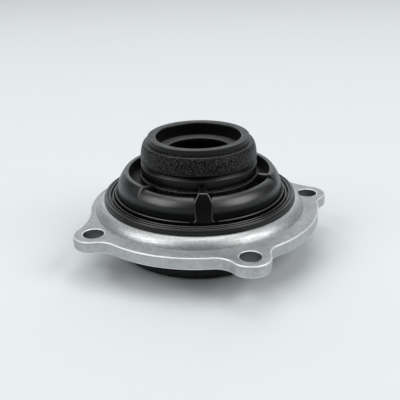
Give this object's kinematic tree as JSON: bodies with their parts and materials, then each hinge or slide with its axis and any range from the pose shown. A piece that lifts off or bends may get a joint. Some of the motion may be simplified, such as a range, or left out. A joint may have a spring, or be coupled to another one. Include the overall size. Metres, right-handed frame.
{
  "type": "strut mount",
  "caption": "Strut mount: cast flange with bolt lugs and a rubber rod bush, carrying a ball-bearing dome that turns with a bump-stop cup.",
  "frame": {"origin": "on the swivel axis, in the plane of the flange's mounting face", "axes": "+Z along the swivel axis from the mounting face towards the bump-stop cup, -Y towards the front lug, X along the line through the two side lugs' holes"},
  "size_m": [0.145, 0.1532, 0.0626],
  "materials": {
    "casting": "cast and tumbled, machined ring",
    "dome_plastic": "satin black moulded nylon",
    "cup_plastic": "fine-grained black moulded nylon",
    "seal_rubber": "matt dark grey rubber",
    "base_rubber": "matt black rubber",
    "bush_rubber": "matt black bonded rubber",
    "bearing_steel": "ground bearing steel",
    "bush_steel": "zinc-plated steel",
    "cage_plastic": "natural nylon"
  },
  "bodies": {
    "housing": {"mounting_flange": "casting", "outer_lip_seal": "seal_rubber", "inner_lip_seal": "seal_rubber", "base_buffer": "base_rubber", "bush_can": "bush_steel", "rubber_bush": "bush_rubber", "inner_sleeve": "bush_steel", "bush_circlip": "bush_steel", "guide_ring": "dome_plastic", "fixed_race": "bearing_steel"},
    "swivel": {"bearing_dome": "dome_plastic", "bump_stop_cup": "cup_plastic", "moving_race": "bearing_steel"},
    "cage": {"ball_cage": "cage_plastic", "bearing_balls": "bearing_steel"}
  },
  "joints": [
    {"name": "swivel_turn", "type": "hinge", "parent": "housing", "child": "swivel", "pos_m": [0, 0, 0.0115], "axis": [0, 0, 1], "continuous": true},
    {"name": "cage_turn", "type": "hinge", "parent": "housing", "child": "cage", "pos_m": [0, 0, 0.0115], "axis": [0, 0, 1], "continuous": true}
  ],
  "couplings": [
    {"joint": "cage_turn", "follows": "swivel_turn", "ratio": 0.5}
  ]
}
